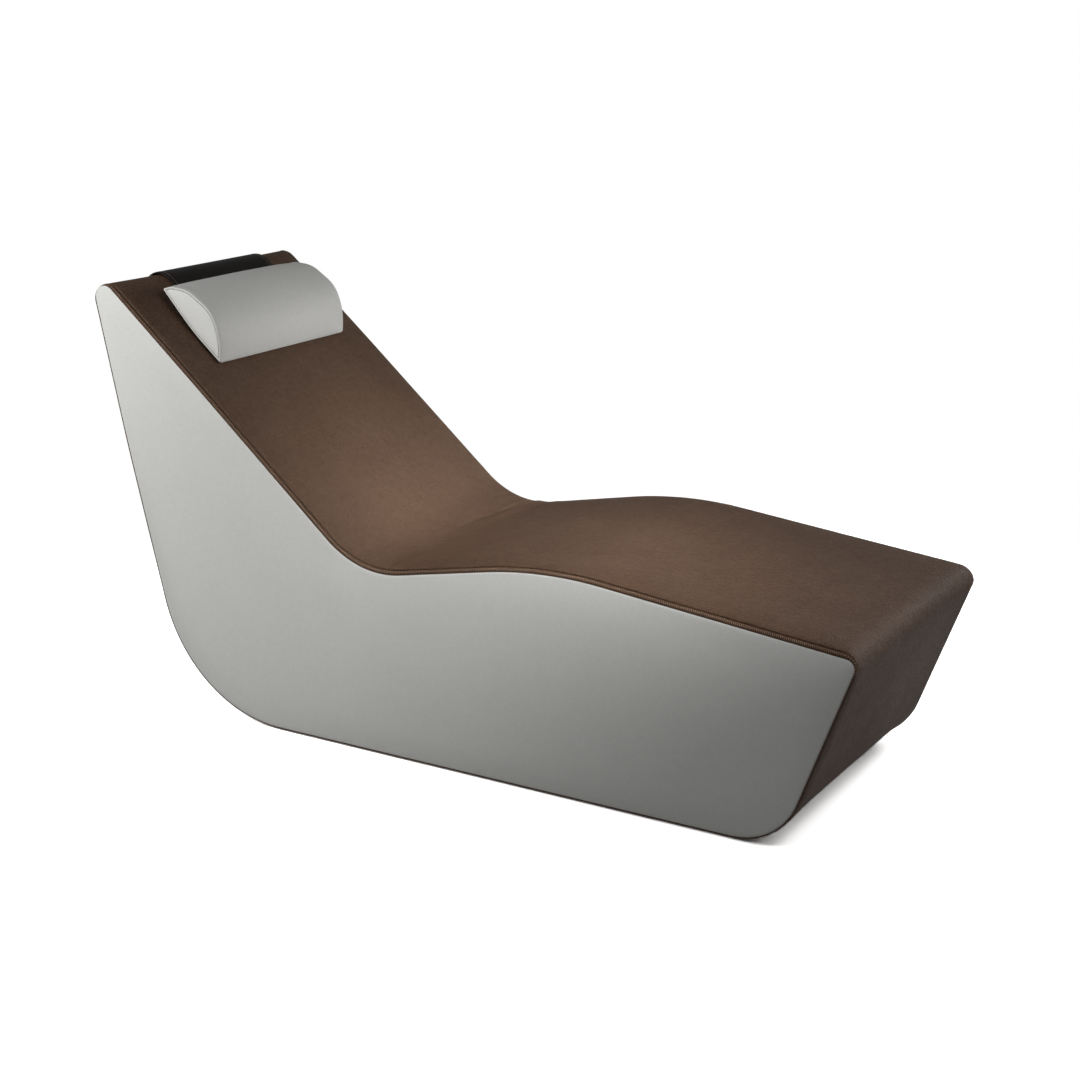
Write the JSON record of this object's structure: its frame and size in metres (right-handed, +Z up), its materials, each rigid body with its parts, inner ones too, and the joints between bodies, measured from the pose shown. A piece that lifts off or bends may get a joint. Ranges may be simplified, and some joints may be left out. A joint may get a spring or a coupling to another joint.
{
  "type": "spa relaxation lounger",
  "caption": "Fixed upholstered spa relaxation lounger on a closed plywood carcass, with white sides, a brown top band and a headrest pillow on a weighted strap.",
  "frame": {"origin": "bottom centre of the lounger's bounding box, on the floor under the glides", "axes": "+X towards the foot end, +Y towards the far side of the picture, +Z up"},
  "size_m": [1.9019, 0.63, 1.0183],
  "materials": {
    "plywood": "matte",
    "timber": "matte",
    "foam": "matte",
    "brown_leatherette": "satin",
    "white_leatherette": "satin",
    "pillow_leatherette": "satin",
    "strap_leatherette": "satin",
    "dust_cloth": "matte",
    "nylon": "matte",
    "screw_steel": "satin",
    "weight_steel": "satin",
    "zip_tape": "matte",
    "zip_metal": "satin"
  },
  "bodies": {
    "root": {"side_panel_left": "plywood", "side_panel_right": "plywood", "centre_rib": "plywood", "head_rail": "timber", "back_rail": "timber", "seat_rail": "timber", "leg_rail": "timber", "toe_rail": "timber", "foot_rail": "timber", "base_rail_front": "timber", "base_rail_rear": "timber", "rear_rail": "timber", "rear_board": "plywood", "rear_curve_board": "plywood", "back_deck": "plywood", "seat_deck": "plywood", "leg_deck": "plywood", "foot_board": "plywood", "foot_curve_board": "plywood", "base_board": "plywood", "corner_blocks": "timber", "frame_screws": "screw_steel", "rear_foam": "foam", "back_foam": "foam", "seat_foam": "foam", "leg_foam": "foam", "foot_foam": "foam", "side_foam_left": "foam", "side_foam_right": "foam", "top_cover": "brown_leatherette", "side_cover_left": "white_leatherette", "side_cover_right": "white_leatherette", "border_strip_left": "brown_leatherette", "border_strip_right": "brown_leatherette", "dust_cover": "dust_cloth", "cover_staples": "screw_steel", "glides": "nylon", "glide_screws": "screw_steel", "headrest_strap": "strap_leatherette"},
    "headrest": {"pillow_cover": "pillow_leatherette", "pillow_end_left": "pillow_leatherette", "pillow_end_right": "pillow_leatherette", "pillow_foam": "foam", "pillow_zip": "zip_tape", "zip_slider": "zip_metal"},
    "counterweight": {"weight_pocket": "strap_leatherette", "weight_bars": "weight_steel"}
  },
  "joints": [
    {"name": "headrest_slide", "type": "slide", "parent": "root", "child": "headrest", "axis": [0.7587, 0, -0.6514], "range_m": [-0.04, 0.15]},
    {"name": "counterweight_slide", "type": "slide", "parent": "root", "child": "counterweight", "axis": [-0.1814, 0, 0.9834], "range_m": [-0.04, 0.15]}
  ],
  "couplings": [
    {"joint": "counterweight_slide", "follows": "headrest_slide", "ratio": 1}
  ]
}
